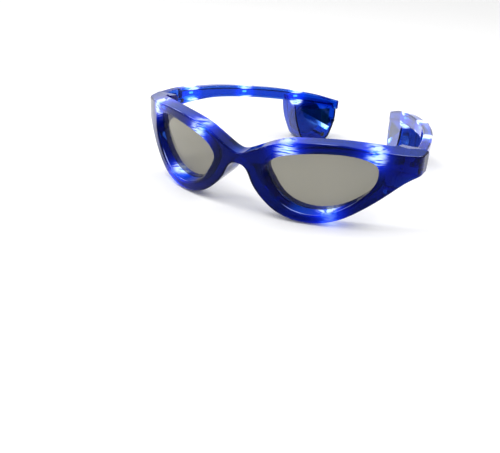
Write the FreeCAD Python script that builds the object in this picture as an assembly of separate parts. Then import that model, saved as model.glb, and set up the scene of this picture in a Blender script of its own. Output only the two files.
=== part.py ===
import FreeCAD, Part
import math
import os

Vector = FreeCAD.Vector

# All lengths are in millimetres and all angles in degrees.
# The model is drawn with +X to the wearer's left, -Y to the front and +Z up, level with the tops of the
# hinges. At the end everything moves so that the glasses stand on z = 0 with the origin under their middle.

# Front frame: outline and wrap
front_half_width = 75.0
front_height = 38.0
front_wrap_radius = 101.5
front_reach = 38.8
front_tilt = 3.6
corner_radius = 6.0
rear_wrap_radius = 94.5
rear_reach = 31.7
rear_tilt = 9.2
cover_thickness = 2.4
frame_wall = 1.0
edge_round = 0.9

# Lenses
lens_thickness = 1.5
lens_lip = 0.5
lens_clearance = 0.03
seat_wall = 0.8

# Nose pads
pad_thickness = 1.7
pad_depth = 8.0
pad_radius = 9.0
pad_middle_drop = 18.5
pad_half_reach = 16.0

# Hinges
hinge_half_spacing = 68.2
hinge_setback = 5.4
knuckle_radius = 3.0
knuckle_height = 2.1
hinge_drop = 1.7
knuckle_gap = 0.15
knuckle_relief = 0.35
pin_radius = 0.9
pin_clearance = 0.05
pin_head_radius = 1.7
pin_head_height = 0.5
seam_setback = 2.0
seam_bulge_radius = 13.0
seam_gap = 0.3
end_block_width = 12.5
end_block_depth = 12.0

# Arms: plan curve
arm_half_spacing = 74.2
arm_start_angle = 7.0
arm_bend_angle = 30.3
arm_end_angle = 32.2
arm_sweep_radius = 157.0
arm_curl_radius = 800.0
arm_tail_length = 36.2
channel_start = 12.5
arm_thickness = 4.6
arm_wall = 1.1
liner_thickness = 1.2
liner_clearance = 0.03
arm_root_height = 9.6
arm_slim_height = 6.3
arm_fall = 11.8
arm_length = 108.0
arm_edge_round = 0.8

# Battery boxes
box_start = 4.2
box_length = 30.6
box_drop = 36.73
box_shoulder = 10.0
box_rear_shoulder = 14.5
box_bulge = 12.8
box_split = 5.5
box_wall = 1.1
box_cover_thickness = 1.2
dome_radius = 80.0
dome_along = 9.0
dome_drop = 22.0
dome_edge_round = 2.2

# Inside the boxes
cell_radius = 10.0
cell_thickness = 3.2
cell_count = 2
cell_rim_share = 0.25
cell_step = 1.2
cell_start = 2.6
cell_along = 14.9
cell_drop = 24.0
cell_side_clearance = 0.25
contact_thickness = 0.3
contact_width = 2.4
contact_length = 14.6
contact_slant = 27.0
contact_along = 19.9
contact_drop = 26.3
contact_rise = 2.2
board_thickness = 0.8
board_clearance = 0.1
board_top_drop = 17.0
board_bottom_drop = 31.0
switch_front = 23.2
switch_size = 4.4
switch_depth = 3.0
switch_rise = 2.5
plunger_radius = 0.8
plunger_depth = 0.8
plunger_clearance = 0.05
button_seat = 27.9
button_seat_out = 0.2
button_inset = 1.55
button_radius = 1.35
button_clearance = 0.05
button_flange = 1.7
button_flange_height = 0.7
button_length = 3.8
button_round = 0.4
button_travel = 0.5
button_drop = 25.0
screw_along = 22.5
screw_drop = 33.2
screw_head_radius = 1.3
screw_head_height = 0.7
screw_seat = -3.8
screw_radius = 0.7
screw_length = 12.0
screw_clearance = 0.02
slot_width = 0.4
boss_radius = 1.5

# Lights and wiring
led_length = 2.2
led_width = 0.9
led_height = 0.8
led_window_radius = 0.4
led_window_height = 0.3
light_gap = 0.05
light_drop = 3.3
wire_width = 0.5
wire_depth = 0.6
wire_gap = 0.15
wire_room = 0.5
wire_way_along = 1.6
wire_way_length = 2.4
wire_way_drop = 17.0

# Cutting tools run past what they cut by this much.
overrun = 20.0

# The outline of the front seen from ahead, as shares of the half width and of the height.
# It starts at the middle of the bridge and runs to the wearer's left.
top_edge_shares = [
    (0.0, -0.074), (0.053, -0.045), (0.112, 0.013), (0.172, 0.071), (0.238, 0.124), (0.318, 0.160),
    (0.398, 0.175), (0.49, 0.179), (0.597, 0.168), (0.703, 0.135), (0.795, 0.091), (0.875, 0.047),
    (0.955, 0.006), (1.06, -0.028),
]
bottom_edge_shares = [
    (0.0, -0.211), (0.042, -0.229), (0.073, -0.295), (0.096, -0.389), (0.13, -0.489), (0.18, -0.592),
    (0.245, -0.692), (0.32, -0.763), (0.40, -0.802), (0.484, -0.813), (0.57, -0.792), (0.65, -0.736),
    (0.73, -0.642), (0.797, -0.547), (0.865, -0.437), (0.93, -0.33), (0.99, -0.268), (1.06, -0.253),
]
# The clear opening of the wearer's left eye, as shares of the same two sizes.
opening_shares = [
    (0.181, -0.163), (0.246, -0.047), (0.359, 0.021), (0.492, 0.052), (0.612, 0.047), (0.731, -0.013),
    (0.788, -0.10), (0.798, -0.211), (0.785, -0.33), (0.745, -0.447), (0.658, -0.592), (0.552, -0.684),
    (0.452, -0.70), (0.352, -0.653), (0.26, -0.526), (0.207, -0.363), (0.179, -0.25),
]
# The end blocks seen from the side, as shares of their depth and of the arm's height at the hinge.
end_block_shares = [(-1.0, 0.4), (-0.4, 0.06), (0.3, 0.0), (0.3, -1.0), (-0.25, -1.3), (-1.0, -2.6)]
# Where along an edge it is tested for being on the front surface.
sampling_shares = [0.1, 0.5, 0.9]
# Heights of the arm's top edge, and of the arm itself, along its length.
arm_top_shares = [
    (-0.06, 0.0), (0.0, 0.0), (0.11, 0.08), (0.23, 0.055), (0.37, 0.02), (0.54, -0.112), (0.67, -0.238),
    (0.80, -0.441), (0.90, -0.648), (1.0, -0.941), (1.12, -1.21),
]
arm_slim_shares = [
    (-0.06, 1.0), (0.0, 1.0), (0.07, 0.94), (0.15, 0.65), (0.23, 0.35), (0.31, 0.12), (0.42, 0.03),
    (0.60, 0.0), (0.80, 0.06), (1.12, 0.0),
]
# The side outline of the battery box, as shares of its length and of its drop below the hinge tops.
box_shares = [
    (0.0, -0.376), (0.03, -0.51), (0.098, -0.705), (0.172, -0.848), (0.235, -0.95), (0.28, -0.987),
    (0.33, -1.0),
]
box_rear_shares = [
    (0.785, -1.0), (0.83, -0.987), (0.875, -0.952), (0.925, -0.865), (0.97, -0.75), (0.998, -0.64), (1.0, -0.50),
]

# Where the lights sit: points of the eye opening's edge, and shares of the arm's length along its curve.
eye_light_shares = {"inner": (0.306, 0.0), "outer": (0.745, -0.03), "lower": (0.54, -0.69)}
arm_light_shares = {"front": 0.177, "middle": 0.475, "rear": 0.755}


def placed(shares, width, height):
    """The points of an outline in the plane seen from ahead."""
    return [Vector(across * width, 0, up * height) for across, up in shares]


def curve_through(points, closed=False):
    """A smooth curve through the points."""
    curve = Part.BSplineCurve()
    curve.interpolate(Points=points, PeriodicFlag=closed)
    return curve


def moved_sideways(curve, distance, samples, closed=False):
    """Points that follow a curve in the XZ plane at a steady distance, to the left of its direction."""
    first, last = curve.FirstParameter, curve.LastParameter
    count = samples if closed else samples - 1
    points = []
    for index in range(samples):
        at = first + (last - first) * index / count
        along = curve.tangent(at)[0]
        side = Vector(-along.z, 0, along.x)
        points.append(curve.value(at) + side * distance)
    return points


def prism(wire, start, length):
    """A solid drawn out along +Y from a flat wire."""
    face = Part.Face(wire)
    face.translate(Vector(0, start, 0))
    return face.extrude(Vector(0, length, 0))


def tilted(shape, angle):
    """The shape leaned forward about the X axis."""
    copy = shape.copy()
    copy.rotate(Vector(0, 0, 0), Vector(1, 0, 0), angle)
    return copy


def mirrored(shape):
    """The same piece for the wearer's right side."""
    return shape.mirror(Vector(0, 0, 0), Vector(1, 0, 0))


def both_sides(points):
    """Outline points for the whole width, from points that start at the middle."""
    other = [Vector(-point.x, 0, point.z) for point in reversed(points[1:])]
    return other + points


def front_outline(inset):
    """The closed outline of the front, moved inward by the inset."""
    samples = len(top_edge_shares) * 3
    top = curve_through(both_sides(placed(top_edge_shares, front_half_width, front_height)))
    bottom = curve_through(both_sides(placed(bottom_edge_shares, front_half_width, front_height)))
    if inset:
        top = curve_through(moved_sideways(top, -inset, samples))
        bottom = curve_through(moved_sideways(bottom, inset, samples))
    top_edge = top.toShape()
    bottom_edge = bottom.toShape()
    left_side = Part.LineSegment(top.value(top.LastParameter), bottom.value(bottom.LastParameter)).toShape()
    right_side = Part.LineSegment(bottom.value(bottom.FirstParameter), top.value(top.FirstParameter)).toShape()
    return Part.Wire(Part.__sortEdges__([top_edge, left_side, bottom_edge, right_side]))


def opening_curve(grow):
    """The closed curve of the wearer's left eye opening, moved outward by grow."""
    curve = curve_through(placed(opening_shares, front_half_width, front_height), closed=True)
    if grow:
        points = moved_sideways(curve, grow, len(opening_shares) * 3, closed=True)
        curve = curve_through(points, closed=True)
    return curve


def through_front(wire):
    """A prism through the whole depth of the front, square to its rear surface."""
    return tilted(prism(wire, -front_reach - overrun, front_reach + overrun * 2), rear_tilt)


def opening_prism(grow):
    """A prism through the front with the shape of one eye opening."""
    return through_front(Part.Wire([opening_curve(grow).toShape()]))


def rear_cylinder(extra):
    """The upright cylinder that the rear of the front follows, larger by extra."""
    radius = rear_wrap_radius + extra
    base = Vector(0, rear_wrap_radius - rear_reach, -front_height - overrun)
    height = front_height * 2 + overrun
    return tilted(Part.makeCylinder(radius, height, base), rear_tilt)


def front_plan(inset):
    """The solid inside the front's outer surface: its wrap seen from above, drawn out upwards."""
    half = front_half_width - inset
    radius = front_wrap_radius - inset
    middle = front_wrap_radius - front_reach
    end_y = middle - math.sqrt(radius ** 2 - half ** 2)
    right_end = Vector(-half, end_y, 0)
    left_end = Vector(half, end_y, 0)
    nose = Vector(0, middle - radius, 0)
    edges = [
        Part.Arc(right_end, nose, left_end).toShape(),
        Part.LineSegment(left_end, Vector(half, middle, 0)).toShape(),
        Part.LineSegment(Vector(half, middle, 0), Vector(-half, middle, 0)).toShape(),
        Part.LineSegment(Vector(-half, middle, 0), right_end).toShape(),
    ]
    face = Part.Face(Part.Wire(edges))
    face.translate(Vector(0, 0, -front_height - overrun))
    solid = face.extrude(Vector(0, 0, front_height * 2 + overrun))
    corners = [
        edge for edge in solid.Edges
        if edge.BoundBox.XLength < lens_clearance
        and edge.BoundBox.YLength < lens_clearance
        and abs(edge.BoundBox.Center.y - end_y) < lens_clearance
    ]
    solid = solid.makeFillet(corner_radius - inset, corners)
    return tilted(solid, front_tilt)


def seam_cylinder(extra):
    """The rounded boundary between the front's end pieces and the arms, seen from the side."""
    radius = seam_bulge_radius + extra
    centre = Vector(-front_half_width - overrun, seam_setback - seam_bulge_radius, -arm_root_height / 2)
    return Part.makeCylinder(radius, (front_half_width + overrun) * 2, centre, Vector(1, 0, 0))


def ahead_of_seam(extra):
    """Everything in front of the seam surface."""
    bulge = seam_cylinder(extra)
    width = (front_half_width + overrun) * 2
    corner = Vector(-front_half_width - overrun, -front_reach - overrun, -front_height - overrun)
    depth = front_reach + overrun + seam_setback - seam_bulge_radius
    block = Part.makeBox(width, depth, front_height * 2 + overrun, corner)
    return block.fuse(bulge)


def hinge_levels():
    """The bottom and top of the lower front knuckle, of the arm's knuckle and of the upper front knuckle."""
    top = -hinge_drop
    levels = []
    for index in range(3):
        high = top - index * (knuckle_height + knuckle_gap)
        levels.append((high - knuckle_height, high))
    return levels


def knuckle(bottom, top, reach_y, radius):
    """A round hinge knuckle with a web that runs forward or back to reach_y."""
    height = top - bottom
    centre = Vector(hinge_half_spacing, hinge_setback, bottom)
    barrel = Part.makeCylinder(radius, height, centre)
    start = min(reach_y, hinge_setback)
    length = abs(reach_y - hinge_setback)
    corner = Vector(hinge_half_spacing - radius, start, bottom)
    web = Part.makeBox(radius * 2, length, height, corner)
    return barrel.fuse(web)


def pin_hole(extra):
    """A hole on the hinge axis through every knuckle."""
    levels = hinge_levels()
    bottom = levels[-1][0] - overrun
    height = levels[0][1] - bottom + overrun
    return Part.makeCylinder(pin_radius + extra, height, Vector(hinge_half_spacing, hinge_setback, bottom))


def end_blocks():
    """The corners behind the end pieces that carry the hinges, before they are trimmed to shape."""
    points = [Vector(front_half_width - end_block_width, along * end_block_depth, up * arm_root_height)
              for along, up in end_block_shares]
    block = Part.Face(Part.makePolygon(points + points[:1])).extrude(Vector(end_block_width, 0, 0))
    return block.fuse(mirrored(block))


def middle_region(margin):
    """The part of the front between the two hinge blocks."""
    half = front_half_width - end_block_width - margin
    corner = Vector(-half, -front_reach - overrun, -front_height - overrun)
    return Part.makeBox(half * 2, front_reach + overrun * 2, front_height * 2 + overrun, corner)


def front_frame():
    """The main moulding: top bar, rims, bridge, end pieces and the hinge knuckles of the front."""
    outer = rounded_front()
    shell = outer.cut(rear_cylinder(cover_thickness))
    body = shell.fuse(outer.common(end_blocks())).common(ahead_of_seam(0))
    seat = opening_prism(lens_lip + lens_clearance).common(
        rear_cylinder(cover_thickness + lens_thickness + lens_clearance))
    body = body.cut([seat, mirrored(seat), wiring_channel()])
    levels = hinge_levels()
    lugs = []
    for bottom, top in (levels[0], levels[2]):
        lug = knuckle(bottom, top, seam_setback - seam_bulge_radius / 2, knuckle_radius)
        lugs.append(lug)
        lugs.append(mirrored(lug))
    body = body.fuse(lugs)
    hole = pin_hole(pin_clearance)
    return body.cut([hole, mirrored(hole)]).removeSplitter()


def on_front_surface(point):
    """Whether a point lies on the wrapped front surface."""
    level = FreeCAD.Rotation(Vector(1, 0, 0), -front_tilt).multVec(point)
    reach = math.hypot(level.x, level.y - front_wrap_radius + front_reach)
    return abs(reach - front_wrap_radius) < lens_clearance


def rounded_front():
    """The full depth of the front with both openings, its ridge, rims and opening edges rounded."""
    opening = opening_prism(0)
    body = through_front(front_outline(0)).common(front_plan(0)).cut([opening, mirrored(opening)])
    edges = []
    for edge in body.Edges:
        first, span = edge.FirstParameter, edge.LastParameter - edge.FirstParameter
        if all(on_front_surface(edge.valueAt(first + span * share)) for share in sampling_shares):
            edges.append(edge)
    return body.makeFillet(edge_round, edges)


def wiring_channel():
    """The hollow behind the front wall that holds the lights and their wires."""
    hollow = through_front(front_outline(frame_wall)).common(front_plan(frame_wall))
    solid_rim = opening_prism(lens_lip + seat_wall)
    hollow = hollow.cut(solid_rim.fuse(mirrored(solid_rim)))
    return hollow.common(middle_region(wire_gap))


def rear_cover():
    """The cover that closes the front from behind, with the nose pads on it."""
    body = through_front(front_outline(0)).common(rear_cylinder(cover_thickness))
    body = body.cut(rear_cylinder(0)).common(middle_region(lens_clearance))
    opening = opening_prism(0)
    body = body.cut(opening.fuse(mirrored(opening)))
    return body.fuse([nose_pad(), mirrored(nose_pad())]).removeSplitter()


def nose_pad():
    """The flange beside the nose, on the wearer's left: a rounded tab that follows the rim."""
    outer = through_front(front_outline(0))
    inner = through_front(front_outline(pad_thickness))
    band = outer.cut(inner).common(rear_cylinder(lens_lip))
    centre = Vector(0, pad_depth - pad_radius - rear_reach, -pad_middle_drop)
    tab = Part.makeCylinder(pad_radius, pad_half_reach, centre, Vector(1, 0, 0))
    return band.common(tilted(tab, rear_tilt))


def lens():
    """The curved lens of the wearer's left eye."""
    body = opening_prism(lens_lip).common(rear_cylinder(cover_thickness + lens_thickness))
    return body.cut(rear_cylinder(cover_thickness))


def arm_plan_centres():
    """The centres of the arm's two arcs and the start of its straight tail, seen from above."""
    def outward(angle):
        return Vector(math.cos(math.radians(angle)), math.sin(math.radians(angle)), 0)

    start = Vector(arm_half_spacing, 0, 0)
    sweep = start - outward(arm_start_angle) * arm_sweep_radius
    bend = sweep + outward(arm_bend_angle) * arm_sweep_radius
    curl = bend - outward(arm_bend_angle) * arm_curl_radius
    tail = curl + outward(arm_end_angle) * arm_curl_radius
    return sweep, curl, tail


def point_at(centre, radius, angle):
    """A point on an arc of the plan."""
    return centre + Vector(math.cos(math.radians(angle)), math.sin(math.radians(angle)), 0) * radius


def tail_direction():
    """The direction of the arm's straight tail, towards its tip, seen from above."""
    return Vector(-math.sin(math.radians(arm_end_angle)), math.cos(math.radians(arm_end_angle)), 0)


def plan_edges(offset):
    """The arm's plan curve from hinge to tip, moved outward by the offset."""
    sweep, curl, tail = arm_plan_centres()
    outer_radius = arm_sweep_radius + offset
    curl_radius = arm_curl_radius + offset
    half_sweep = (arm_start_angle + arm_bend_angle) / 2
    half_curl = (arm_bend_angle + arm_end_angle) / 2
    start = point_at(sweep, outer_radius, arm_start_angle)
    bend = point_at(sweep, outer_radius, arm_bend_angle)
    straight = point_at(curl, curl_radius, arm_end_angle)
    tip = straight + tail_direction() * arm_tail_length
    return [
        Part.Arc(start, point_at(sweep, outer_radius, half_sweep), bend).toShape(),
        Part.Arc(bend, point_at(curl, curl_radius, half_curl), straight).toShape(),
        Part.LineSegment(straight, tip).toShape(),
    ], start, tip


def arm_band(inner_offset, outer_offset):
    """The space between two offsets of the arm's plan curve, drawn out upwards."""
    outer, outer_start, outer_tip = plan_edges(outer_offset)
    inner, inner_start, inner_tip = plan_edges(inner_offset)
    edges = outer + inner
    edges.append(Part.LineSegment(outer_start, inner_start).toShape())
    edges.append(Part.LineSegment(outer_tip, inner_tip).toShape())
    face = Part.Face(Part.Wire(Part.__sortEdges__(edges)))
    face.translate(Vector(0, 0, -box_drop - overrun))
    return face.extrude(Vector(0, 0, box_drop + overrun * 2))


def arm_heights(inset):
    """The top and bottom edge of the arm, seen from the side, moved inward by the inset."""
    top = [Vector(0, along * arm_length, up * arm_fall - inset) for along, up in arm_top_shares]
    top_curve = curve_through(top)
    bottom = []
    for along, extra in arm_slim_shares:
        height = arm_slim_height + (arm_root_height - arm_slim_height) * extra
        bottom.append(Vector(0, along * arm_length, height_at(along) - height + inset))
    return top_curve, curve_through(bottom)


def height_at(along):
    """The height of the arm's top edge at a share of the arm's length."""
    for (low, low_up), (high, high_up) in zip(arm_top_shares, arm_top_shares[1:]):
        if low <= along <= high:
            return arm_fall * (low_up + (high_up - low_up) * (along - low) / (high - low))
    return arm_fall * arm_top_shares[-1][1]


def side_prism(top_curve, bottom_curve):
    """A prism along X between two curves in the YZ plane."""
    edges = [
        top_curve.toShape(),
        bottom_curve.toShape(),
        Part.LineSegment(top_curve.value(top_curve.FirstParameter),
                         bottom_curve.value(bottom_curve.FirstParameter)).toShape(),
        Part.LineSegment(top_curve.value(top_curve.LastParameter),
                         bottom_curve.value(bottom_curve.LastParameter)).toShape(),
    ]
    face = Part.Face(Part.Wire(Part.__sortEdges__(edges)))
    face.translate(Vector(-overrun, 0, 0))
    return face.extrude(Vector(arm_half_spacing + overrun * 2, 0, 0))


def in_box_frame(shape):
    """Moves a shape drawn with x along the tail, y inward and z up to the front of the battery box."""
    copy = shape.copy()
    copy.rotate(Vector(0, 0, 0), Vector(0, 0, 1), arm_end_angle + 90)
    copy.translate(arm_plan_centres()[2] + tail_direction() * box_start)
    return copy


def box_outline(inset):
    """The side outline of the battery box, moved inward by the inset."""
    front_curve = curve_through(placed(box_shares, box_length, box_drop))
    rear_curve = curve_through(placed(box_rear_shares, box_length, box_drop))
    samples = len(box_shares) * 2
    if inset:
        front_curve = curve_through(moved_sideways(front_curve, inset, samples))
        rear_curve = curve_through(moved_sideways(rear_curve, inset, samples))
    front_top = front_curve.value(front_curve.FirstParameter)
    front_end = front_curve.value(front_curve.LastParameter)
    rear_start = rear_curve.value(rear_curve.FirstParameter)
    rear_top = rear_curve.value(rear_curve.LastParameter)
    shoulder_front = Vector(front_top.x, 0, -box_shoulder - inset)
    shoulder_rear = Vector(rear_top.x, 0, -box_rear_shoulder - inset)
    edges = [
        front_curve.toShape(),
        Part.LineSegment(front_end, rear_start).toShape(),
        rear_curve.toShape(),
        Part.LineSegment(rear_top, shoulder_rear).toShape(),
        Part.LineSegment(shoulder_rear, shoulder_front).toShape(),
        Part.LineSegment(shoulder_front, front_top).toShape(),
    ]
    return Part.Wire(Part.__sortEdges__(edges))


def box_prism(inset, low, high):
    """A prism of the battery box's outline between two distances outward of the arm's outer face."""
    return prism(box_outline(inset), -high, high - low)


def across_box(along, height, low, high, radius):
    """A cylinder across the battery box between two distances outward of the arm's outer face."""
    return Part.makeCylinder(radius, high - low, Vector(along, -high, height), Vector(0, 1, 0))


def box_block(along_low, along_high, low, high, bottom, top):
    """A block in the battery box."""
    corner = Vector(along_low, -high, bottom)
    return Part.makeBox(along_high - along_low, high - low, top - bottom, corner)


def dome(extra):
    """The sphere that the battery cover's outer face follows, larger by extra."""
    centre = Vector(dome_along, dome_radius - box_bulge, -dome_drop)
    return Part.makeSphere(dome_radius + extra, centre)


def arm_blank(inset, inner_offset, outer_offset):
    """The arm's bar between two offsets of its plan curve, its edges moved inward by the inset."""
    top, bottom = arm_heights(inset)
    return arm_band(inner_offset, outer_offset).common(side_prism(top, bottom))


def rounded_arm():
    """The arm's bar with its long edges and its tip rounded."""
    bar = arm_blank(0, -arm_thickness, 0)
    return bar.makeFillet(arm_edge_round, [edge for edge in bar.Edges if edge.BoundBox.YMax > seam_setback])


def box_housing():
    """The solid of the battery housing, with the edges of its inner face rounded."""
    solid = box_prism(0, -arm_thickness, box_split)
    edges = [edge for edge in solid.Edges if edge.BoundBox.YMin > arm_thickness - lens_clearance]
    return in_box_frame(solid.makeFillet(arm_edge_round, edges))


def behind(start):
    """Everything behind a distance from the hinge tops."""
    corner = Vector(-overrun, start, -box_drop - overrun)
    return Part.makeBox(arm_half_spacing + overrun * 2, arm_length + overrun, box_drop + overrun * 2, corner)


def button_axis():
    """The point of the push button's axis where it meets the seat, in the battery box's frame."""
    return Vector(button_seat, button_inset, -button_drop)


def along_button(start, length, radius):
    """A cylinder on the push button's axis, from a distance behind its seat."""
    base = button_axis() + Vector(start, 0, 0)
    return Part.makeCylinder(radius, length, base, Vector(1, 0, 0))


def beyond_tail(distance):
    """Everything beyond a distance along the arm's tail."""
    start = distance - box_start
    return in_box_frame(box_block(start, start + arm_tail_length, -arm_thickness - overrun, overrun,
                                  -box_drop, overrun))


def hinge_relief():
    """The room that the front's knuckles and their webs need in the arm."""
    levels = hinge_levels()
    radius = knuckle_radius + knuckle_relief
    rooms = []
    for bottom, top in (levels[0], levels[2]):
        low = bottom - knuckle_gap
        high = top + knuckle_gap
        if top == levels[0][1]:
            high = top + pin_head_height + knuckle_gap
        rooms.append(knuckle(low, high, seam_setback - seam_bulge_radius, radius))
    return rooms[0].fuse(rooms[1])


def arm_body():
    """The wearer's left arm: the bar with its open channel, the hinge knuckle and the battery housing."""
    body = rounded_arm().fuse(box_housing())
    bottom, top = hinge_levels()[1]
    body = body.cut(ahead_of_seam(seam_gap))
    body = body.cut(hinge_relief())
    body = body.fuse(knuckle(bottom, top, channel_start - arm_wall, knuckle_radius))
    channel = arm_blank(arm_wall, -arm_thickness - overrun, -arm_wall).common(behind(channel_start))
    body = body.cut(channel.cut(beyond_tail(arm_tail_length - arm_wall)))
    cavity = box_prism(box_wall, -arm_thickness + box_wall, box_split + overrun)
    cavity = in_box_frame(cavity).cut(arm_blank(0, -arm_thickness - overrun, 0))
    body = body.cut(cavity)
    post = across_box(screw_along, -screw_drop, -arm_thickness + box_wall / 2, box_split, boss_radius)
    seat = box_block(button_seat, button_seat + box_wall * 2, -arm_thickness + box_wall / 2, button_seat_out,
                     -button_drop - button_flange, -button_drop + button_flange)
    seat = seat.common(box_prism(box_wall / 2, -arm_thickness, box_split))
    body = body.fuse([in_box_frame(post), in_box_frame(seat)])
    recess = across_box(screw_along, -screw_drop, -arm_thickness - overrun, screw_seat, screw_head_radius
                        + screw_clearance)
    hole = across_box(screw_along, -screw_drop, -arm_thickness, box_split + overrun,
                      screw_radius + screw_clearance)
    button_hole = along_button(-box_wall, overrun, button_radius + button_clearance)
    wire_way = box_block(wire_way_along, wire_way_along + wire_way_length, -arm_thickness + liner_thickness,
                         -arm_wall, -wire_way_drop, -box_shoulder)
    body = body.cut([in_box_frame(cutter) for cutter in (recess, hole, button_hole, wire_way)])
    hinge_hole = pin_hole(pin_clearance)
    return body.cut(hinge_hole).removeSplitter()


def arm_liner():
    """The flat strip that closes the arm's channel from the inner side."""
    inset = arm_wall + liner_clearance
    strip = arm_blank(inset, -arm_thickness, liner_thickness - arm_thickness)
    strip = strip.common(behind(channel_start + liner_clearance))
    return strip.cut(beyond_tail(arm_tail_length - inset))


def arm_wiring():
    """The flat pair of wires that runs along the arm's channel."""
    top = arm_heights(arm_wall + wire_room)[0]
    bottom = arm_heights(arm_wall + wire_room + wire_width)[0]
    inner = liner_thickness - arm_thickness + wire_room
    band = arm_band(inner, inner + wire_depth).common(side_prism(top, bottom))
    band = band.common(behind(channel_start + arm_wall))
    return band.cut(beyond_tail(box_start + wire_way_along + wire_way_length))


def battery_cover():
    """The domed cover on the outer side of the battery box, with the post for its screw."""
    far = box_bulge + overrun
    shell = box_prism(0, box_split, far).common(dome(0))
    edges = [edge for edge in shell.Edges if edge.BoundBox.YMax < -box_split - dome_edge_round]
    shell = shell.makeFillet(dome_edge_round, edges)
    room = box_prism(box_wall, box_split - overrun, far).common(dome(-box_cover_thickness))
    shell = shell.cut(room)
    post = across_box(screw_along, -screw_drop, box_split, box_bulge, boss_radius)
    shell = shell.fuse(post.common(dome(-box_cover_thickness / 2)))
    hole = across_box(screw_along, -screw_drop, box_split, screw_seat + screw_length + cell_side_clearance,
                      screw_radius + screw_clearance)
    return in_box_frame(shell.cut(hole)).removeSplitter()


def button_cell(index):
    """One button cell, with the step round its negative side."""
    low = cell_start + index * cell_thickness
    rim = cell_thickness * cell_rim_share
    can = across_box(cell_along, -cell_drop, low + rim, low + cell_thickness, cell_radius)
    top = across_box(cell_along, -cell_drop, low, low + rim, cell_radius - cell_step)
    return in_box_frame(can.fuse(top))


def circuit_board():
    """The circuit board against the inner wall of the battery box, cut off at a slant beside the contact."""
    low = -arm_thickness + box_wall
    board = box_prism(box_wall + board_clearance, low, low + board_thickness)
    region = box_block(0, switch_front + switch_depth, low, low + board_thickness, -board_bottom_drop,
                       -board_top_drop)
    below = box_block(-box_length, box_length, low - overrun, low + overrun, -box_drop,
                      contact_width / 2 + board_clearance)
    return in_box_frame(board.common(region).cut(beside_contact(below)))


def switch():
    """The push switch on the circuit board, with the well that the button's plunger slides in."""
    low = board_thickness + box_wall - arm_thickness
    half = switch_size / 2
    mouth = switch_front + switch_depth
    case = box_block(switch_front, mouth, low, low + switch_rise, -button_drop - half, -button_drop + half)
    depth = plunger_depth + button_travel + plunger_clearance
    well = along_button(mouth - depth - button_seat, depth + overrun, plunger_radius + plunger_clearance)
    return in_box_frame(case.cut(well))


def push_button():
    """The push button at the rear of the battery box: a round stem, a flange inside the wall and a plunger."""
    stem = along_button(-button_flange_height, button_flange_height + button_length, button_radius)
    stem = stem.makeFillet(button_round, [
        edge for edge in stem.Edges
        if abs(edge.BoundBox.XMin - button_seat - button_length) < button_clearance
        and edge.BoundBox.XLength < button_clearance])
    flange = along_button(-button_flange_height, button_flange_height, button_flange)
    tip = switch_front + switch_depth - plunger_depth - button_seat
    plunger = along_button(tip, -tip, plunger_radius)
    return in_box_frame(stem.fuse([flange, plunger])).removeSplitter()


def beside_contact(shape):
    """Turns and moves a shape drawn along the slanted contact strip into the box."""
    copy = shape.copy()
    copy.rotate(Vector(0, 0, 0), Vector(0, 1, 0), contact_slant)
    copy.translate(Vector(contact_along, 0, -contact_drop))
    return copy


def contact_strip():
    """The strip on the inner wall of the box, with the leg that stands under the inner cell."""
    low = -arm_thickness + box_wall
    start = -contact_length / 2
    half = contact_width / 2
    strip = box_block(start, -start, low, low + contact_thickness, -half, half)
    leg = box_block(start, start + contact_thickness, low, cell_start, -half, half)
    return in_box_frame(beside_contact(strip.fuse(leg)))


def cover_contact():
    """The bowed strip that presses on the outer cell from the cover."""
    end = cell_start + cell_count * cell_thickness
    disc = across_box(cell_along, -cell_drop, end, end + contact_thickness, contact_width)
    ring = across_box(cell_along, -cell_drop, end + contact_thickness, end + contact_rise, contact_width / 2)
    return in_box_frame(disc.fuse(ring))


def cover_screw():
    """The screw that holds the battery cover, driven in from the inner side."""
    low = screw_seat - screw_head_height
    head = across_box(screw_along, -screw_drop, low, screw_seat, screw_head_radius)
    shank = across_box(screw_along, -screw_drop, screw_seat, screw_seat + screw_length, screw_radius)
    slot = box_block(screw_along - screw_head_radius, screw_along + screw_head_radius, low,
                     low + screw_head_height / 2, -screw_drop - slot_width / 2, -screw_drop + slot_width / 2)
    return in_box_frame(head.fuse(shank).cut(slot))


def hinge_pin():
    """The headed pin on the hinge axis of the wearer's left side."""
    levels = hinge_levels()
    top = levels[0][1]
    axis_point = Vector(hinge_half_spacing, hinge_setback, levels[2][0])
    shank = Part.makeCylinder(pin_radius, top - levels[2][0], axis_point)
    head = Part.makeCylinder(pin_head_radius, pin_head_height, Vector(hinge_half_spacing, hinge_setback, top))
    return shank.fuse(head)


def chip_light():
    """One chip light, lying on z = 0 with its round window upwards and its length along x."""
    base = Part.makeBox(led_length, led_width, led_height, Vector(-led_length / 2, -led_width / 2, 0))
    window = Part.makeCylinder(led_window_radius, led_window_height, Vector(0, 0, led_height))
    return base.fuse(window)


def turned_to(shape, place, forward, side):
    """The shape with its z axis turned to forward, its x axis to side, and moved to place."""
    across = forward.cross(side)
    matrix = FreeCAD.Matrix(
        side.x, across.x, forward.x, place.x,
        side.y, across.y, forward.y, place.y,
        side.z, across.z, forward.z, place.z,
        0, 0, 0, 1)
    return shape.transformed(matrix)


def eye_light(across, up):
    """A light on the wires round the wearer's left eye, beside a point of the opening's edge."""
    curve = opening_curve(lens_lip + seat_wall + wire_gap + led_width / 2)
    at = curve.parameter(Vector(across * front_half_width, 0, up * front_height))
    point = curve.value(at)
    radius = rear_wrap_radius + cover_thickness + wire_gap + wire_depth + light_gap
    point.y = -math.sqrt(radius ** 2 - point.x ** 2)
    forward = Vector(point.x, point.y, 0).normalize()
    along = curve.tangent(at)[0]
    along.y = -along.x * point.x / point.y
    point.y += rear_wrap_radius - rear_reach
    return tilted(turned_to(chip_light(), point, forward, along.normalize()), rear_tilt)


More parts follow.
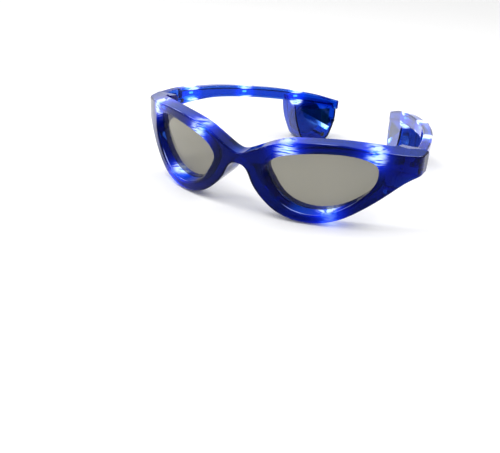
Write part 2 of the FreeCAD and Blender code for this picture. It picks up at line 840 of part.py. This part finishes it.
def eye_wiring():
    """The flat pair of wires round the wearer's left eye."""
    inner = lens_lip + seat_wall + wire_gap
    band = opening_prism(inner + wire_width).cut(opening_prism(inner))
    low = cover_thickness + wire_gap
    return band.common(rear_cylinder(low + wire_depth)).cut(rear_cylinder(low))


def arm_light(share):
    """A light in the channel of the wearer's left arm, at a share of the arm's curve from the hinge."""
    edges = plan_edges(0)[0]
    distance = share * sum(edge.Length for edge in edges)
    for edge in edges:
        if distance <= edge.Length:
            break
        distance -= edge.Length
    at = edge.getParameterByLength(distance)
    along = edge.tangentAt(at)
    outward = Vector(along.y, -along.x, 0)
    place = edge.valueAt(at) - outward * (arm_wall + led_height + led_window_height + wire_gap)
    place.z = height_at(place.y / arm_length) - light_drop
    return turned_to(chip_light(), place, outward, along)


parts = {}


def main():
    os.makedirs("parts", exist_ok=True)
    parts["front_frame"] = front_frame()
    parts["rear_cover"] = rear_cover()
    pin = hinge_pin()
    parts["hinge_pins"] = Part.makeCompound([pin, mirrored(pin)])
    lefts = {
        "lens": lens(),
        "eye_wiring": eye_wiring(),
        "arm": arm_body(),
        "arm_liner": arm_liner(),
        "arm_wiring": arm_wiring(),
        "battery_cover": battery_cover(),
        "inner_cell": button_cell(0),
        "outer_cell": button_cell(1),
        "circuit_board": circuit_board(),
        "switch": switch(),
        "push_button": push_button(),
        "contact_strip": contact_strip(),
        "cover_contact": cover_contact(),
        "cover_screw": cover_screw(),
    }
    for name, (across, up) in eye_light_shares.items():
        lefts["eye_light_" + name] = eye_light(across, up)
    for name, share in arm_light_shares.items():
        lefts["arm_light_" + name] = arm_light(share)
    for name, shape in lefts.items():
        parts["left_" + name] = shape
        parts["right_" + name] = mirrored(shape)
    whole = Part.makeCompound(list(parts.values()))
    bounds = whole.optimalBoundingBox(False, False)
    shift = Vector(-bounds.Center.x, -bounds.Center.y, -bounds.ZMin)
    print("moved by", shift)
    for name, shape in parts.items():
        shape.translate(shift)
        print(name, shape.isValid(), len(shape.Solids), round(shape.Volume, 1), shape.BoundBox)
        shape.exportStep("parts/" + name + ".step")
    tail = arm_plan_centres()[2] + shift
    print("hinge axis", Vector(hinge_half_spacing, hinge_setback, hinge_levels()[1][0]) + shift)
    print("button axis", in_box_frame(Part.Vertex(button_axis())).Point + shift, tail_direction())
    print("tail start", tail)
    print("box rest", in_box_frame(Part.Vertex(Vector(box_length / 2, 0, -box_drop))).Point + shift)


main()
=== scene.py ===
import math

import bpy
import numpy as np
from bpy.props import FloatProperty, FloatVectorProperty, PointerProperty
from mathutils import Euler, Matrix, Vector


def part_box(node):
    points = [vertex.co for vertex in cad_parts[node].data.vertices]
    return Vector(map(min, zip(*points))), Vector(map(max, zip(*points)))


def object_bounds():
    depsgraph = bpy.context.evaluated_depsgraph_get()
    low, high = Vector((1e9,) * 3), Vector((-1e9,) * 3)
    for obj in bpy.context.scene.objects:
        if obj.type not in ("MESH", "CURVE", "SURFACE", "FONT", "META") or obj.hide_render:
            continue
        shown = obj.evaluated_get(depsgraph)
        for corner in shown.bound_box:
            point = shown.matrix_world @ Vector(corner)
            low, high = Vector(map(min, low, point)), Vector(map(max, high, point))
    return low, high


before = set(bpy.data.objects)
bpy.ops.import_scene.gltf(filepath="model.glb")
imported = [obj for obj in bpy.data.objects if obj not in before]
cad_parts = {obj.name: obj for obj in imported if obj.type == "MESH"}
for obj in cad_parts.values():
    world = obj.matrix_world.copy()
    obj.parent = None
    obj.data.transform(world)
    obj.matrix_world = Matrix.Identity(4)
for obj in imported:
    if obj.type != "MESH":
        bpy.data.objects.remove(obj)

bl_info = {
    "name": "Light up glasses",
    "version": (1, 0, 0),
    "blender": (4, 5, 0),
    "location": "3D View > Sidebar > Glasses",
    "description": "Dresses a pair of light up party glasses in clear blue plastic and lights it",
    "category": "Object",
}

# Lengths are in metres. Scales of a noise are in waves per metre. A range is where a mask starts
# and where it is full.
CAD_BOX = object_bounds()
SIDES = ("left", "right")
EYE_LIGHTS = ("inner", "outer", "lower")
ARM_LIGHTS = ("front", "middle", "rear")
BLACK = (0.0, 0.0, 0.0, 1.0)
WHITE = (1.0, 1.0, 1.0, 1.0)

# The glow: how fast its core fades against its halo, and the flat streaks across the core.
HALO_POWER = 1.5
CORE_FADE = 3.2
CORE_RANGE = (0.06, 0.6)
STREAK_STRETCH = (1.0, 1.0, 9.0)
STREAK_SCALE = 160.0
STREAK_ROUGHNESS = 0.6
STREAK_RANGE = (0.38, 0.56)
STREAK_FLOOR = 0.2

# In the arms the core shows only near the upper and lower edge, this far from the light's level.
ARM_HALF_HEIGHT = 0.003
EDGE_START_SHARE = 0.55
EDGE_GAIN = 7.0

# Painted light: faces that look up, by the normal's Z, get a painted light, and rounded upper
# edges, which also look ahead, get a painted highlight. The painted highlight on the edges is
# broken by a noise.
PAINTED_TOP_LIGHT_RANGE = (0.85, 0.98)
RIDGE_HIGHLIGHT_START_RANGE = (0.72, 0.82)
RIDGE_HIGHLIGHT_END_RANGE = (0.88, 0.95)
RIDGE_HIGHLIGHT_AHEAD_RANGE = (0.2, 0.4)
RIDGE_HIGHLIGHT_BREAK_SCALE = 70.0
RIDGE_HIGHLIGHT_BREAK_RANGE = (0.35, 0.6)

# Moulded clear plastic: clouds in its tone and slow waves in its surface.
CLOUD_SCALE = 90.0
CLOUD_SHADE = 0.8
WAVE_SCALE = 120.0
WAVE_STRENGTH = 0.05
WAVE_HEIGHT = 0.0003

# The other finishes.
LENS_CLOUD_SCALE = 60.0
LENS_SHADE = 0.94
LENS_ROUGHNESS = 0.05
LENS_BENDING = 1.2
DRAWN_STRETCH = (1.0, 1.0, 8.0)
DRAWN_DETAIL = 4.0
DRAWN_ROUGHNESS = 0.2
METAL_SHADE = 0.8
STRIP_SCALE = 900.0
STRIP_METAL = 0.6
STRIP_ROUGHNESS = 0.15
STRIP_DARK_SHARE = 0.25
GRAIN_SCALE = 2500.0
GRAIN_SHADE = 0.7
GRAIN_ROUGHNESS = 0.1
GRAIN_STRENGTH = 0.1
GRAIN_HEIGHT = 0.0001
SPARK_SCALE = 1500.0
LIGHT_ROUGHNESS = 0.2
PAPER_SCALE = 3.0
PAPER_SHADE = 1.02
PAPER_ROUGHNESS = 0.7

# Each lamp's place, width, height and share of the lamp power: soft squares above, and narrow
# strips that draw bright lines along the ridges.
LAMPS = {
    "key lamp": ((-0.35, -0.25, 0.75), 0.35, 0.35, 1.1),
    "rim lamp": ((0.45, 0.35, 0.6), 0.25, 0.25, 0.6),
    "front strip": ((0.1, -0.55, 0.75), 0.7, 0.03, 0.5),
    "side strip": ((-0.6, -0.2, 0.45), 0.6, 0.03, 0.4),
}


class Socket:
    """A node socket that can be used in sums: each operator adds the Math node for it."""

    def __init__(self, graph, socket):
        self.graph = graph
        self.socket = socket

    def math(self, operation, *others):
        """The result of a Math node on this value and the others."""
        return self.graph.node("ShaderNodeMath", {"operation": operation},
                               dict(enumerate((self, *others))))

    def after(self, operation, first):
        """The result of a Math node on a plain number and then this value."""
        return self.graph.node("ShaderNodeMath", {"operation": operation}, {0: first, 1: self})

    def __add__(self, other):
        return self.math("ADD", other)

    def __radd__(self, other):
        return self.after("ADD", other)

    def __sub__(self, other):
        return self.math("SUBTRACT", other)

    def __rsub__(self, other):
        return self.after("SUBTRACT", other)

    def __mul__(self, other):
        return self.math("MULTIPLY", other)

    def __rmul__(self, other):
        return self.after("MULTIPLY", other)

    def __truediv__(self, other):
        return self.math("DIVIDE", other)

    def __rtruediv__(self, other):
        return self.after("DIVIDE", other)

    def __pow__(self, other):
        return self.math("POWER", other)

    def __rpow__(self, other):
        return self.after("POWER", other)

    def __neg__(self):
        return self.math("MULTIPLY", -1.0)


class Graph:
    """The nodes of a material with its Principled shader, or of a world with its Background."""

    def __init__(self, owner, shader="Principled BSDF"):
        owner.use_nodes = True
        self.owner = owner
        self.nodes = owner.node_tree.nodes
        self.links = owner.node_tree.links
        self.shader = self.nodes[shader]

    def link(self, target, value):
        """Sets an input socket to a value, or links it to a Socket."""
        if isinstance(value, Socket):
            self.links.new(value.socket, target)
        else:
            target.default_value = value

    def node(self, kind, settings=None, values=None, output=0):
        """A node of a kind: its settings are set first, then the values or links of its inputs."""
        made = self.nodes.new(kind)
        for name, setting in (settings or {}).items():
            setattr(made, name, setting)
        for name, value in (values or {}).items():
            self.link(made.inputs[name], value)
        return Socket(self, made.outputs[output])

    def place(self):
        """Where the shaded point is, in the object's frame, in metres."""
        return self.node("ShaderNodeTexCoord", output="Object")

    def vector(self, operation, first, second=None, output=0):
        """The result of a Vector Math node."""
        values = {0: first} if second is None else {0: first, 1: second}
        return self.node("ShaderNodeVectorMath", {"operation": operation}, values, output)

    def part(self, vector, axis):
        """One part of a vector."""
        return self.node("ShaderNodeSeparateXYZ", None, {"Vector": vector}, axis)

    def noise(self, place, scale, detail=2.0, roughness=0.5):
        """A smooth random value between 0 and 1."""
        values = {"Vector": place, "Scale": scale, "Detail": detail, "Roughness": roughness}
        return self.node("ShaderNodeTexNoise", None, values, "Fac")

    def ramp(self, value, low, high):
        """0 below the low end, 1 above the high end, smooth between them."""
        values = {"Value": value, "From Min": low, "From Max": high, "To Min": 0.0, "To Max": 1.0}
        return self.node("ShaderNodeMapRange", {"interpolation_type": "SMOOTHSTEP"}, values)

    def mix(self, factor, first, second, blend="MIX"):
        """A blend of two colours."""
        settings = {"data_type": "RGBA", "blend_type": blend}
        return self.node("ShaderNodeMix", settings, {0: factor, 6: first, 7: second}, 2)

    def bump(self, height, strength, distance):
        """A bump that raises the surface by a height."""
        values = {"Height": height, "Strength": strength, "Distance": distance}
        self.set(Normal=self.node("ShaderNodeBump", None, values))

    def set(self, **inputs):
        """Sets inputs of the shader, named with underscores for spaces."""
        for name, value in inputs.items():
            self.link(self.shader.inputs[name.replace("_", " ")], value)


def new_material(name):
    """A new material's graph."""
    return Graph(bpy.data.materials.new(name))


def colour(values, share=1.0):
    """A colour as four numbers, with its red, green and blue times a share."""
    return (*(share * part for part in values), 1.0)


def settings():
    """The glasses' settings on the scene."""
    return bpy.context.scene.glasses


def dress(material, *nodes):
    """Gives CAD nodes a material."""
    for name in nodes:
        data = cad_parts[name].data
        data.materials.clear()
        data.materials.append(material)


def middle(node):
    """The middle of a CAD node's box."""
    low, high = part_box(node)
    return (low + high) / 2


def light_glow(graph, lights, reach, half_height):
    """How strongly the lights shine through a point, as a pair of values: wide halo and hot core.
    With d the distance to a light over reach, the halo adds exp(-d^2) and the core adds
    exp(-CORE_FADE d^2) times flat level streaks. Where half_height is set, the core is
    EDGE_GAIN times stronger and shows only that far above or below the light."""
    place = graph.place()
    level = graph.vector("MULTIPLY", place, STREAK_STRETCH)
    streaks = graph.ramp(graph.noise(level, STREAK_SCALE, roughness=STREAK_ROUGHNESS),
                         *STREAK_RANGE)
    halos, cores = [], []
    for light in lights:
        away = graph.vector("SUBTRACT", place, tuple(middle(light)))
        distance = graph.vector("LENGTH", away, output="Value") / reach
        squared = distance * distance
        core = (squared * -CORE_FADE).math("EXPONENT")
        if half_height:
            rise = graph.part(away, "Z").math("ABSOLUTE")
            core = core * EDGE_GAIN
            core = core * graph.ramp(rise, EDGE_START_SHARE * half_height, half_height)
        halos.append((-squared).math("EXPONENT"))
        cores.append(core)
    return sum(halos), sum(cores) * (STREAK_FLOOR + streaks)


def painted_top_and_ridge_light(graph, look):
    """Painted light, worked out from which way a face points in the world: a painted light on the
    faces that look up and a painted highlight along the rounded upper edges. With z the upward and
    y the backward part of the normal, the edges are where z lies between the two ranges for the
    rounded edges and -y is past its own."""
    normal = graph.node("ShaderNodeNewGeometry", output="Normal")
    up, back = graph.part(normal, "Z"), graph.part(normal, "Y")
    painted_ridge_highlight = graph.ramp(up, *RIDGE_HIGHLIGHT_START_RANGE) * (1.0 - graph.ramp(up, *RIDGE_HIGHLIGHT_END_RANGE))
    painted_ridge_highlight = painted_ridge_highlight * graph.ramp(-back, *RIDGE_HIGHLIGHT_AHEAD_RANGE)
    breaks = graph.noise(graph.place(), RIDGE_HIGHLIGHT_BREAK_SCALE, detail=1.0)
    painted_ridge_highlight = painted_ridge_highlight * graph.ramp(breaks, *RIDGE_HIGHLIGHT_BREAK_RANGE)
    # Painted light on the faces that look up, then the painted highlight added along the rounded
    # upper edges.
    shine = graph.mix(graph.ramp(up, *PAINTED_TOP_LIGHT_RANGE), BLACK, colour(look.top))
    return graph.mix(painted_ridge_highlight, shine, colour(look.painted_ridge_highlight), "ADD")


def clear_plastic(name, lights, look, half_height=0.0):
    """Glossy see-through blue plastic, lit from inside near its lights, with painted light on the
    faces that look up and a painted highlight along the rounded upper edges. What is thick is
    darker.
    """
    graph = new_material(name)
    place = graph.place()
    cloud = graph.noise(place, CLOUD_SCALE, detail=3.0)
    base = graph.mix(cloud, colour(look.tone), colour(look.tone, CLOUD_SHADE))
    halo, core = light_glow(graph, lights, look.reach, half_height)
    # The emission holds the glow of the lights together with the painted light and painted
    # highlight set by the way each face points.
    shine = graph.mix(halo ** HALO_POWER, painted_top_and_ridge_light(graph, look), colour(look.glow))
    shine = graph.mix(graph.ramp(core, *CORE_RANGE), shine, colour(look.core))
    graph.set(Base_Color=base, Roughness=look.roughness, IOR=look.bending,
              Transmission_Weight=1.0, Specular_Tint=colour(look.sheen),
              Emission_Color=shine, Emission_Strength=look.strength)
    graph.bump(graph.noise(place, WAVE_SCALE, detail=1.0), WAVE_STRENGTH, WAVE_HEIGHT)
    thick = graph.node("ShaderNodeVolumeAbsorption", None,
                       {"Color": colour(look.thick_tone), "Density": look.depth})
    graph.link(graph.nodes["Material Output"].inputs["Volume"], thick)
    return graph.owner


def tinted_lens(name, look):
    """A thin pale grey lens."""
    graph = new_material(name)
    cloud = graph.noise(graph.place(), LENS_CLOUD_SCALE)
    base = graph.mix(cloud, colour(look.tint), colour(look.tint, LENS_SHADE))
    graph.set(Base_Color=base, Roughness=LENS_ROUGHNESS, IOR=LENS_BENDING,
              Transmission_Weight=look.clearness)
    return graph.owner


def drawn_lines(graph, scale):
    """Fine level lines, as a noise that is squeezed in height."""
    level = graph.vector("MULTIPLY", graph.place(), DRAWN_STRETCH)
    return graph.noise(level, scale, DRAWN_DETAIL)


def plain_metal(name, tone, roughness, scale):
    """Metal with fine drawn lines."""
    graph = new_material(name)
    lines = drawn_lines(graph, scale)
    base = graph.mix(lines, colour(tone), colour(tone, METAL_SHADE))
    graph.set(Base_Color=base, Metallic=1.0, Roughness=lines * DRAWN_ROUGHNESS + roughness)
    return graph.owner


def painted_glint_strip(name, node, look):
    """A bright metal strip with a painted glint, stronger towards the rear."""
    graph = new_material(name)
    low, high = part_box(node)
    # The painted glint fades in from here to the rear end of the strip.
    dark_end = low[1] + STRIP_DARK_SHARE * (high[1] - low[1])
    shine = graph.ramp(graph.part(graph.place(), "Y"), dark_end, high[1])
    lines = drawn_lines(graph, STRIP_SCALE)
    base = graph.mix(lines, colour(look.strip), colour(look.strip_lines))
    graph.set(Base_Color=base, Metallic=STRIP_METAL,
              Roughness=lines * DRAWN_ROUGHNESS + STRIP_ROUGHNESS,
              Emission_Color=graph.mix(shine, BLACK, colour(look.strip_painted_glint)),
              Emission_Strength=look.strip_glint_strength)
    return graph.owner


def plain_moulding(name, tone, roughness):
    """Opaque moulded plastic with a fine grain."""
    graph = new_material(name)
    grain = graph.noise(graph.place(), GRAIN_SCALE, detail=3.0)
    base = graph.mix(grain, colour(tone), colour(tone, GRAIN_SHADE))
    graph.set(Base_Color=base, Roughness=roughness + grain * GRAIN_ROUGHNESS)
    graph.bump(grain, GRAIN_STRENGTH, GRAIN_HEIGHT)
    return graph.owner


def lit_body(name, look):
    """The body of a lit light, white in spots."""
    graph = new_material(name)
    base = graph.mix(graph.noise(graph.place(), SPARK_SCALE), colour(look.tone), WHITE)
    graph.set(Base_Color=base, Roughness=LIGHT_ROUGHNESS, Emission_Color=base,
              Emission_Strength=look.strength)
    return graph.owner


def tone_property(name, description, default):
    """A colour that a user can change."""
    return FloatVectorProperty(name=name, description=description, default=default, size=3,
                               subtype="COLOR", min=0.0, max=1.0)


class ClearPlastic:
    """What the plastic of the front and of the arms has alike."""
    thick_tone: tone_property("Thick plastic", "What thick plastic lets through", (0.05, 0.3, 0.8))
    roughness: FloatProperty(name="Roughness", description="Roughness of the plastic", default=0.02)
    bending: FloatProperty(name="Bending", description="How strongly light is bent", default=1.38)
    glow: tone_property("Glow", "Colour of the halo round each light", (0.004, 0.03, 0.75))
    core: tone_property("Core", "Colour beside each light", (0.75, 0.9, 1.0))
    strength: FloatProperty(name="Glow strength", description="Brightness of the glow", default=0.9)


class FrontSettings(ClearPlastic, bpy.types.PropertyGroup):
    """The navy plastic of the front and its rear cover, the light inside it, and its painted light
    on the faces that look up and painted highlight along the rounded upper edges.
    """
    tone: tone_property("Tone", "What two surfaces of the plastic let through", (0.018, 0.08, 0.36))
    depth: FloatProperty(name="Density", description="How soon thick plastic turns dark",
                         default=400.0)
    sheen: tone_property("Sheen", "Tint of the reflections", (0.14, 0.2, 0.62))
    reach: FloatProperty(name="Glow reach", description="How far each light's halo reaches",
                         default=0.0078, unit="LENGTH", precision=4)
    # The next two colours are painted light: a painted light on the faces that look up and a
    # painted highlight along the rounded upper edges.
    top: tone_property("Top light", "Light out of the faces that look up", (0.0, 0.03, 0.22))
    painted_ridge_highlight: tone_property("Ridge light", "Light out of the rounded upper edges", (0.4, 0.5, 0.95))


class ArmSettings(ClearPlastic, bpy.types.PropertyGroup):
    """The royal blue plastic of the arms and the battery boxes, the light inside it, and its
    painted light on the faces that look up and painted highlight along the rounded upper edges.
    """
    tone: tone_property("Tone", "What two surfaces of the plastic let through", (0.06, 0.25, 0.80))
    depth: FloatProperty(name="Density", description="How soon thick plastic turns dark",
                         default=250.0)
    sheen: tone_property("Sheen", "Tint of the reflections", (0.35, 0.42, 0.75))
    reach: FloatProperty(name="Glow reach", description="How far each light's halo reaches",
                         default=0.0055, unit="LENGTH", precision=4)
    # The next two colours are painted light: a painted light on the faces that look up and a
    # painted highlight along the rounded upper edges.
    top: tone_property("Top light", "Light out of the faces that look up", (0.0, 0.015, 0.08))
    painted_ridge_highlight: tone_property("Ridge light", "Light out of the rounded upper edges", (0.2, 0.3, 0.6))


class LightSettings(bpy.types.PropertyGroup):
    """The lights themselves."""
    tone: tone_property("Tone", "Colour of the lit lights", (0.3, 0.6, 1.0))
    strength: FloatProperty(name="Strength", description="Brightness of each light", default=4.0)


class LensSettings(bpy.types.PropertyGroup):
    """The tinted lenses."""
    tint: tone_property("Tint", "Colour of the lenses", (0.29, 0.28, 0.235))
    clearness: FloatProperty(name="Clearness", description="How much light passes through",
                             default=0.93)


class InsideSettings(bpy.types.PropertyGroup):
    """The metal and the opaque mouldings inside, and the buttons."""
    cell: tone_property("Cells", "Steel of the cells", (0.62, 0.63, 0.66))
    contact: tone_property("Contacts", "Metal of the cover contacts", (0.9, 0.88, 0.84))
    screw: tone_property("Screws and pins", "Dark steel of screws and pins", (0.05, 0.05, 0.06))
    strip: tone_property("Strips", "Metal of the contact strips", (0.95, 0.94, 0.92))
    strip_lines: tone_property("Strip lines", "Lines in that metal", (0.8, 0.79, 0.77))
    # Colour and strength of the painted glint on the contact strips.
    strip_painted_glint: tone_property("Strip light", "Light on the strips", (1.0, 0.8, 0.75))
    strip_glint_strength: FloatProperty(name="Strip strength", description="Brightness of the strips",
                                  default=5.0)
    board: tone_property("Boards", "Colour of the circuit boards", (0.10, 0.30, 0.22))
    black: tone_property("Switches", "Colour of switches and buttons", (0.012, 0.012, 0.014))
    wire: tone_property("Wires", "Colour of the wires' coat", (0.03, 0.03, 0.05))


class StageSettings(bpy.types.PropertyGroup):
    """The camera, the floor and the lamps."""
    camera_place: FloatVectorProperty(name="Camera place", description="Where the camera stands",
                                      default=(0.15917, -0.34533, 0.12335), size=3,
                                      subtype="TRANSLATION", unit="LENGTH")
    camera_turn: FloatVectorProperty(name="Camera turn", description="How the camera is turned",
                                     default=[math.radians(turn) for turn in
                                              (67.151, -4.383, 30.983)],
                                     size=3, subtype="EULER", unit="ROTATION")
    focal_length: FloatProperty(name="Focal length", description="Focal length in millimetres",
                                default=52.03)
    sensor_width: FloatProperty(name="Sensor width", description="Sensor width in millimetres",
                                default=36.0)
    floor: tone_property("Floor", "Colour of the floor", (0.95, 0.95, 0.95))
    floor_size: FloatProperty(name="Floor size", description="Side of the floor", default=6.0,
                              unit="LENGTH")
    world_level: FloatProperty(name="World level", description="Light from all round", default=0.9)
    lamp_power: FloatProperty(name="Lamp power", description="Power that the lamps share, in watts",
                              default=1.8)


class GlassesSettings(bpy.types.PropertyGroup):
    """Everything that a user can change."""
    front: PointerProperty(type=FrontSettings)
    arms: PointerProperty(type=ArmSettings)
    light: PointerProperty(type=LightSettings)
    lens: PointerProperty(type=LensSettings)
    inside: PointerProperty(type=InsideSettings)
    stage: PointerProperty(type=StageSettings)


class GLASSES_OT_shell(bpy.types.Operator):
    """Dress the frame, the arms and the covers in clear blue plastic"""
    bl_idname = "glasses.shell"
    bl_label = "Frame and arms"

    def execute(self, context):
        eyes = [f"{side}_eye_light_{name}" for side in SIDES for name in EYE_LIGHTS]
        dress(clear_plastic("front plastic", eyes, settings().front), "front_frame", "rear_cover")
        for side in SIDES:
            lights = [f"{side}_arm_light_{name}" for name in ARM_LIGHTS]
            arm = clear_plastic(f"{side} arm plastic", lights, settings().arms, ARM_HALF_HEIGHT)
            dress(arm, f"{side}_arm", f"{side}_arm_liner", f"{side}_battery_cover")
        return {"FINISHED"}


class GLASSES_OT_lenses(bpy.types.Operator):
    """Dress both lenses in tinted clear plastic"""
    bl_idname = "glasses.lenses"
    bl_label = "Lenses"

    def execute(self, context):
        dress(tinted_lens("lens tint", settings().lens), "left_lens", "right_lens")
        return {"FINISHED"}


class GLASSES_OT_lights(bpy.types.Operator):
    """Light every light in the front and the arms"""
    bl_idname = "glasses.lights"
    bl_label = "Lights"

    def execute(self, context):
        body = lit_body("lit light", settings().light)
        dress(body, *[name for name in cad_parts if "_light_" in name])
        return {"FINISHED"}


class GLASSES_OT_batteries(bpy.types.Operator):
    """Dress the cells, contacts, screws and pins in metal"""
    bl_idname = "glasses.batteries"
    bl_label = "Cells, contacts and fasteners"

    def execute(self, context):
        look = settings().inside
        steel = plain_metal("cell steel", look.cell, roughness=0.2, scale=700.0)
        spring = plain_metal("contact steel", look.contact, roughness=0.12, scale=900.0)
        screw = plain_metal("screw steel", look.screw, roughness=0.3, scale=1200.0)
        dress(screw, "hinge_pins")
        for side in SIDES:
            dress(steel, f"{side}_inner_cell", f"{side}_outer_cell")
            strip = f"{side}_contact_strip"
            dress(painted_glint_strip(f"{side} strip steel", strip, look), strip)
            dress(spring, f"{side}_cover_contact")
            dress(screw, f"{side}_cover_screw")
        return {"FINISHED"}


class GLASSES_OT_electronics(bpy.types.Operator):
    """Dress the boards, switches, buttons and wires"""
    bl_idname = "glasses.electronics"
    bl_label = "Boards, switches and wires"

    def execute(self, context):
        look = settings().inside
        board = plain_moulding("board green", look.board, roughness=0.45)
        black = plain_moulding("switch black", look.black, roughness=0.4)
        wire = plain_moulding("wire coat", look.wire, roughness=0.35)
        for side in SIDES:
            dress(board, f"{side}_circuit_board")
            dress(black, f"{side}_switch", f"{side}_push_button")
            dress(wire, f"{side}_eye_wiring", f"{side}_arm_wiring")
        return {"FINISHED"}


class GLASSES_OT_stage(bpy.types.Operator):
    """Set up the floor, the lamps and the camera"""
    bl_idname = "glasses.stage"
    bl_label = "Stage"

    def execute(self, context):
        look = settings().stage
        make_floor(look)
        make_world(look)
        make_lamps(look)
        make_camera(look)
        context.scene.view_settings.view_transform = "Standard"
        return {"FINISHED"}


def place_object(name, data):
    """A new object in the scene."""
    made = bpy.data.objects.new(name, data)
    bpy.context.scene.collection.objects.link(made)
    return made


def grid_mesh(name, points):
    """A mesh from a grid of points, rows by columns: each face joins four neighbours."""
    rows, columns = points.shape[:2]
    index = np.arange(rows * columns).reshape(rows, columns)
    corners = [index[:-1, :-1], index[:-1, 1:], index[1:, 1:], index[1:, :-1]]
    faces = np.stack(corners, axis=-1).reshape(-1, 4)
    mesh = bpy.data.meshes.new(name)
    mesh.from_pydata(points.reshape(-1, 3).tolist(), [], faces.tolist())
    return mesh


def make_floor(look):
    """A large level square at z = 0: x and y run from minus to plus half its side."""
    ends = np.array([-0.5, 0.5]) * look.floor_size
    x, y = np.meshgrid(ends, ends)
    floor = place_object("floor", grid_mesh("floor", np.stack([x, y, np.zeros_like(x)], axis=-1)))
    graph = new_material("floor")
    paper = graph.noise(graph.place(), PAPER_SCALE)
    tone = graph.mix(paper, colour(look.floor), colour(look.floor, PAPER_SHADE))
    graph.set(Base_Color=tone, Roughness=PAPER_ROUGHNESS)
    floor.data.materials.append(graph.owner)


def make_world(look):
    """Even light from all round. Where it is seen, mirrored or looked through, it is white."""
    world = bpy.data.worlds.new("studio")
    bpy.context.scene.world = world
    graph = Graph(world, "Background")
    seen, mirrored, through = (graph.node("ShaderNodeLightPath", output=f"Is {ray} Ray")
                               for ray in ("Camera", "Glossy", "Transmission"))
    white = seen.math("MAXIMUM", mirrored.math("MAXIMUM", through))
    level = graph.node("ShaderNodeMix", {"data_type": "FLOAT"},
                       {0: white, 2: look.world_level, 3: 1.0})
    graph.set(Color=WHITE, Strength=level)


def make_lamps(look):
    """The lamps, each aimed at the middle of the glasses."""
    target = (Vector(CAD_BOX[0]) + Vector(CAD_BOX[1])) / 2
    for name, (place, width, height, share) in LAMPS.items():
        data = bpy.data.lights.new(name, "AREA")
        data.shape = "RECTANGLE"
        data.size = width
        data.size_y = height
        data.energy = look.lamp_power * share
        lamp = place_object(name, data)
        lamp.location = place
        lamp.rotation_euler = (target - Vector(place)).to_track_quat("-Z", "Y").to_euler()


def make_camera(look):
    """A camera where the photograph was taken from."""
    data = bpy.data.cameras.new("camera")
    data.lens = look.focal_length
    data.sensor_width = look.sensor_width
    camera = place_object("camera", data)
    camera.location = look.camera_place
    camera.rotation_euler = Euler(look.camera_turn)
    bpy.context.scene.camera = camera


OPERATORS = (GLASSES_OT_shell, GLASSES_OT_lenses, GLASSES_OT_lights, GLASSES_OT_batteries,
             GLASSES_OT_electronics, GLASSES_OT_stage)


class GLASSES_PT_panel(bpy.types.Panel):
    """The glasses' settings and the steps that make them"""
    bl_idname = "GLASSES_PT_panel"
    bl_label = "Light up glasses"
    bl_space_type = "VIEW_3D"
    bl_region_type = "UI"
    bl_category = "Glasses"

    def draw(self, context):
        look = settings()
        for group in (look.front, look.arms, look.light, look.lens, look.inside, look.stage):
            box = self.layout.box()
            for field in group.bl_rna.properties:
                if field.identifier not in ("rna_type", "name"):
                    box.prop(group, field.identifier)
        for operator in OPERATORS:
            self.layout.operator(operator.bl_idname)


CLASSES = (FrontSettings, ArmSettings, LightSettings, LensSettings, InsideSettings, StageSettings,
           GlassesSettings, *OPERATORS, GLASSES_PT_panel)


def register():
    for entry in CLASSES:
        bpy.utils.register_class(entry)
    bpy.types.Scene.glasses = PointerProperty(type=GlassesSettings)


def unregister():
    del bpy.types.Scene.glasses
    for entry in reversed(CLASSES):
        bpy.utils.unregister_class(entry)


def main():
    register()
    bpy.ops.glasses.shell()
    bpy.ops.glasses.lenses()
    bpy.ops.glasses.lights()
    bpy.ops.glasses.batteries()
    bpy.ops.glasses.electronics()
    bpy.ops.glasses.stage()


if __name__ == "__main__":
    main()
